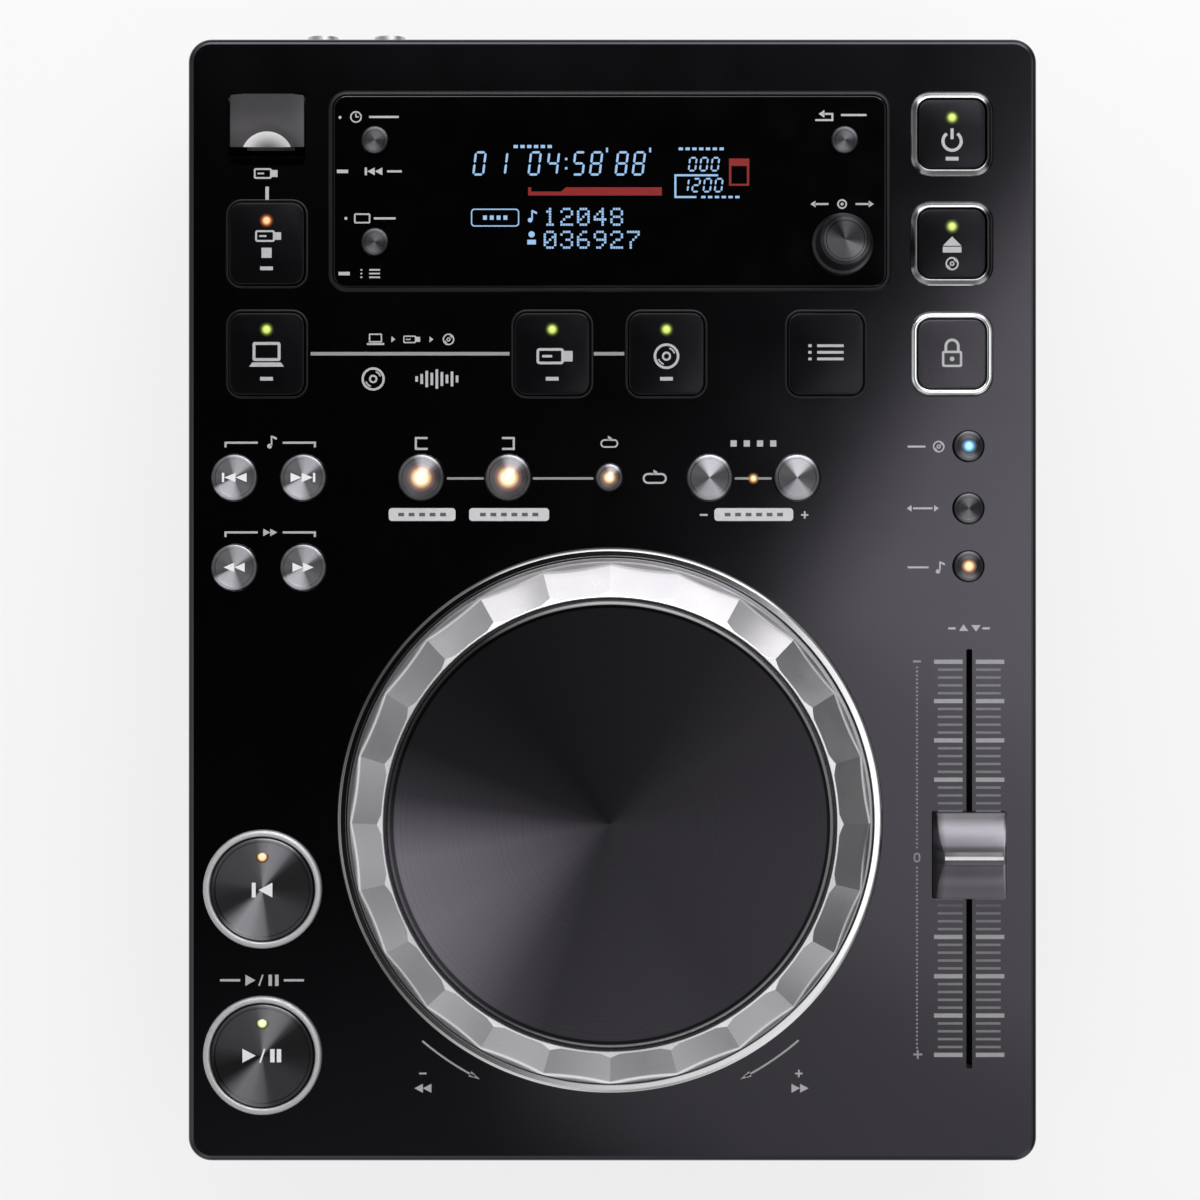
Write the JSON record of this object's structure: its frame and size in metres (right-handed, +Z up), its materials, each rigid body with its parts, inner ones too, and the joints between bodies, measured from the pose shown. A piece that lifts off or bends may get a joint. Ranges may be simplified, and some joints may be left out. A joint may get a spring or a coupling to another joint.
{
  "type": "tabletop disc player",
  "caption": "Tabletop disc player for mixing: a large jog wheel, lit keys, a display window, a long tempo fader, a slot-in disc drive and rear sockets.",
  "frame": {"origin": "on the table, under the middle of the whole outline, the rear sockets included", "axes": "+X to the user's right, +Y to the rear with the sockets, +Z up"},
  "size_m": [0.2186, 0.2964, 0.1066],
  "materials": {
    "black_panel": "satin black moulding",
    "black_steel": "black powder coat",
    "foot_rubber": "matt",
    "black_screw": "black oxide",
    "smoked_window": "polished smoked acrylic",
    "display_glass": "display glass on its board",
    "bright_trim": "polished plating",
    "board_green": "solder mask",
    "supply_brown": "paper laminate board with parts",
    "socket_black": "moulded",
    "bright_steel": "zinc plated",
    "roller_rubber": "ground rubber on a steel shaft",
    "white_acetal": "moulded acetal",
    "sled_plastic": "glass filled moulding",
    "silver_plastic": "silver metallic paint",
    "black_spun_metal": "black anodised, spun",
    "fader_cap": "satin grey metallic",
    "dark_knob": "satin",
    "lid_grey": "satin grey",
    "key_black": "gloss black moulding",
    "key_smoke": "translucent smoke moulding"
  },
  "bodies": {
    "case": {"top_panel": "black_panel", "cabinet": "black_panel", "bottom_chassis": "black_steel", "front_panel": "black_panel", "rear_panel": "black_steel", "rubber_feet": "foot_rubber", "case_screws": "black_screw", "display_window": "smoked_window", "display_module": "display_glass", "jog_trim_ring": "bright_trim", "key_frames": "bright_trim", "control_board": "board_green", "main_board": "board_green", "power_supply": "supply_brown", "power_inlet": "socket_black", "jack_board": "board_green", "usb_socket": "bright_steel", "drive_frame": "bright_steel", "loading_motor": "bright_steel", "spindle_motor": "bright_steel", "guide_rods": "bright_steel", "jog_axle": "bright_steel", "fader_case": "bright_steel"},
    "jog": {"jog_wheel": "silver_plastic"},
    "touch_plate": {"jog_plate": "black_spun_metal"},
    "fader": {"fader_lever": "bright_steel", "tempo_knob": "fader_cap"},
    "selector": {"selector_shaft": "bright_steel"},
    "selector_dial": {"selector_knob": "dark_knob"},
    "stick_lid": {"usb_lid": "lid_grey"},
    "roller": {"loading_roller": "roller_rubber"},
    "pinion": {"motor_pinion": "white_acetal"},
    "turntable": {"disc_turntable": "white_acetal"},
    "clamp": {"clamp_arm": "bright_steel"},
    "sled": {"pickup_sled": "sled_plastic"},
    "power_key": {"power_key": "key_black"},
    "eject_key": {"eject_key": "key_black"},
    "beat_lock_key": {"beat_lock_key": "key_smoke"},
    "playlist_key": {"playlist_key": "key_black"},
    "disc_source_key": {"disc_source_key": "key_black"},
    "usb_source_key": {"usb_source_key": "key_black"},
    "computer_source_key": {"computer_source_key": "key_black"},
    "usb_stop_key": {"usb_stop_key": "key_black"},
    "time_mode_key": {"time_mode_key": "key_smoke"},
    "display_mode_key": {"display_mode_key": "key_smoke"},
    "back_key": {"back_key": "key_smoke"},
    "track_back_key": {"track_back_key": "silver_plastic"},
    "track_next_key": {"track_next_key": "silver_plastic"},
    "search_back_key": {"search_back_key": "silver_plastic"},
    "search_forward_key": {"search_forward_key": "silver_plastic"},
    "loop_in_key": {"loop_in_key": "silver_plastic"},
    "loop_out_key": {"loop_out_key": "silver_plastic"},
    "loop_exit_key": {"loop_exit_key": "silver_plastic"},
    "beat_minus_key": {"beat_minus_key": "silver_plastic"},
    "beat_plus_key": {"beat_plus_key": "silver_plastic"},
    "vinyl_mode_key": {"vinyl_mode_key": "key_smoke"},
    "tempo_range_key": {"tempo_range_key": "key_smoke"},
    "master_tempo_key": {"master_tempo_key": "key_smoke"},
    "cue_key": {"cue_key": "key_smoke"},
    "play_key": {"play_key": "key_smoke"}
  },
  "joints": [
    {"name": "jog_spin", "type": "hinge", "parent": "case", "child": "jog", "pos_m": [-0.0006, -0.06045, 0.095], "axis": [0, 0, 1], "continuous": true},
    {"name": "jog_touch", "type": "slide", "parent": "jog", "child": "touch_plate", "axis": [0, 0, -1], "range_m": [0, 0.0003], "stiffness_N_per_m": 3000, "springref_m": -0.002},
    {"name": "tempo_slide", "type": "slide", "parent": "case", "child": "fader", "axis": [0, 1, 0], "range_m": [-0.05, 0.05]},
    {"name": "selector_push", "type": "slide", "parent": "case", "child": "selector", "axis": [0, 0, -1], "range_m": [0, 0.0005], "stiffness_N_per_m": 800, "springref_m": -0.001},
    {"name": "selector_turn", "type": "hinge", "parent": "selector", "child": "selector_dial", "pos_m": [0.0591, 0.08775, 0.095], "axis": [0, 0, 1], "continuous": true},
    {"name": "stick_lid_hinge", "type": "hinge", "parent": "case", "child": "stick_lid", "pos_m": [-0.08895, 0.12515, 0.0864], "axis": [-1, 0, 0], "range_deg": [0, 90]},
    {"name": "roller_spin", "type": "hinge", "parent": "case", "child": "roller", "pos_m": [0, -0.12825, 0.0408], "axis": [1, 0, 0], "continuous": true},
    {"name": "pinion_spin", "type": "hinge", "parent": "case", "child": "pinion", "pos_m": [0.08, -0.10905, 0.0408], "axis": [1, 0, 0], "continuous": true},
    {"name": "turntable_spin", "type": "hinge", "parent": "case", "child": "turntable", "pos_m": [-0.0006, -0.06045, 0.0454], "axis": [0, 0, 1], "continuous": true},
    {"name": "clamp_lift", "type": "hinge", "parent": "case", "child": "clamp", "pos_m": [0, 0.00575, 0.054], "axis": [-1, 0, 0], "range_deg": [0, 5], "stiffness_Nm_per_rad": 0.5, "springref_deg": -5.73},
    {"name": "sled_slide", "type": "slide", "parent": "case", "child": "sled", "axis": [0, 1, 0], "range_m": [0, 0.034]},
    {"name": "power_press", "type": "slide", "parent": "case", "child": "power_key", "axis": [0, 0, -1], "range_m": [0, 0.0007], "stiffness_N_per_m": 250, "springref_m": -0.001},
    {"name": "eject_press", "type": "slide", "parent": "case", "child": "eject_key", "axis": [0, 0, -1], "range_m": [0, 0.0007], "stiffness_N_per_m": 250, "springref_m": -0.001},
    {"name": "beat_lock_press", "type": "slide", "parent": "case", "child": "beat_lock_key", "axis": [0, 0, -1], "range_m": [0, 0.0007], "stiffness_N_per_m": 250, "springref_m": -0.001},
    {"name": "playlist_press", "type": "slide", "parent": "case", "child": "playlist_key", "axis": [0, 0, -1], "range_m": [0, 0.0007], "stiffness_N_per_m": 250, "springref_m": -0.001},
    {"name": "disc_source_press", "type": "slide", "parent": "case", "child": "disc_source_key", "axis": [0, 0, -1], "range_m": [0, 0.0007], "stiffness_N_per_m": 250, "springref_m": -0.001},
    {"name": "usb_source_press", "type": "slide", "parent": "case", "child": "usb_source_key", "axis": [0, 0, -1], "range_m": [0, 0.0007], "stiffness_N_per_m": 250, "springref_m": -0.001},
    {"name": "computer_source_press", "type": "slide", "parent": "case", "child": "computer_source_key", "axis": [0, 0, -1], "range_m": [0, 0.0007], "stiffness_N_per_m": 250, "springref_m": -0.001},
    {"name": "usb_stop_press", "type": "slide", "parent": "case", "child": "usb_stop_key", "axis": [0, 0, -1], "range_m": [0, 0.0007], "stiffness_N_per_m": 250, "springref_m": -0.001},
    {"name": "time_mode_press", "type": "slide", "parent": "case", "child": "time_mode_key", "axis": [0, 0, -1], "range_m": [0, 0.0007], "stiffness_N_per_m": 250, "springref_m": -0.001},
    {"name": "display_mode_press", "type": "slide", "parent": "case", "child": "display_mode_key", "axis": [0, 0, -1], "range_m": [0, 0.0007], "stiffness_N_per_m": 250, "springref_m": -0.001},
    {"name": "back_press", "type": "slide", "parent": "case", "child": "back_key", "axis": [0, 0, -1], "range_m": [0, 0.0007], "stiffness_N_per_m": 250, "springref_m": -0.001},
    {"name": "track_back_press", "type": "slide", "parent": "case", "child": "track_back_key", "axis": [0, 0, -1], "range_m": [0, 0.0007], "stiffness_N_per_m": 250, "springref_m": -0.001},
    {"name": "track_next_press", "type": "slide", "parent": "case", "child": "track_next_key", "axis": [0, 0, -1], "range_m": [0, 0.0007], "stiffness_N_per_m": 250, "springref_m": -0.001},
    {"name": "search_back_press", "type": "slide", "parent": "case", "child": "search_back_key", "axis": [0, 0, -1], "range_m": [0, 0.0007], "stiffness_N_per_m": 250, "springref_m": -0.001},
    {"name": "search_forward_press", "type": "slide", "parent": "case", "child": "search_forward_key", "axis": [0, 0, -1], "range_m": [0, 0.0007], "stiffness_N_per_m": 250, "springref_m": -0.001},
    {"name": "loop_in_press", "type": "slide", "parent": "case", "child": "loop_in_key", "axis": [0, 0, -1], "range_m": [0, 0.0007], "stiffness_N_per_m": 250, "springref_m": -0.001},
    {"name": "loop_out_press", "type": "slide", "parent": "case", "child": "loop_out_key", "axis": [0, 0, -1], "range_m": [0, 0.0007], "stiffness_N_per_m": 250, "springref_m": -0.001},
    {"name": "loop_exit_press", "type": "slide", "parent": "case", "child": "loop_exit_key", "axis": [0, 0, -1], "range_m": [0, 0.0007], "stiffness_N_per_m": 250, "springref_m": -0.001},
    {"name": "beat_minus_press", "type": "slide", "parent": "case", "child": "beat_minus_key", "axis": [0, 0, -1], "range_m": [0, 0.0007], "stiffness_N_per_m": 250, "springref_m": -0.001},
    {"name": "beat_plus_press", "type": "slide", "parent": "case", "child": "beat_plus_key", "axis": [0, 0, -1], "range_m": [0, 0.0007], "stiffness_N_per_m": 250, "springref_m": -0.001},
    {"name": "vinyl_mode_press", "type": "slide", "parent": "case", "child": "vinyl_mode_key", "axis": [0, 0, -1], "range_m": [0, 0.0007], "stiffness_N_per_m": 250, "springref_m": -0.001},
    {"name": "tempo_range_press", "type": "slide", "parent": "case", "child": "tempo_range_key", "axis": [0, 0, -1], "range_m": [0, 0.0007], "stiffness_N_per_m": 250, "springref_m": -0.001},
    {"name": "master_tempo_press", "type": "slide", "parent": "case", "child": "master_tempo_key", "axis": [0, 0, -1], "range_m": [0, 0.0007], "stiffness_N_per_m": 250, "springref_m": -0.001},
    {"name": "cue_press", "type": "slide", "parent": "case", "child": "cue_key", "axis": [0, 0, -1], "range_m": [0, 0.0007], "stiffness_N_per_m": 250, "springref_m": -0.001},
    {"name": "play_press", "type": "slide", "parent": "case", "child": "play_key", "axis": [0, 0, -1], "range_m": [0, 0.0007], "stiffness_N_per_m": 250, "springref_m": -0.001}
  ],
  "couplings": [
    {"joint": "pinion_spin", "follows": "roller_spin", "ratio": -2}
  ]
}
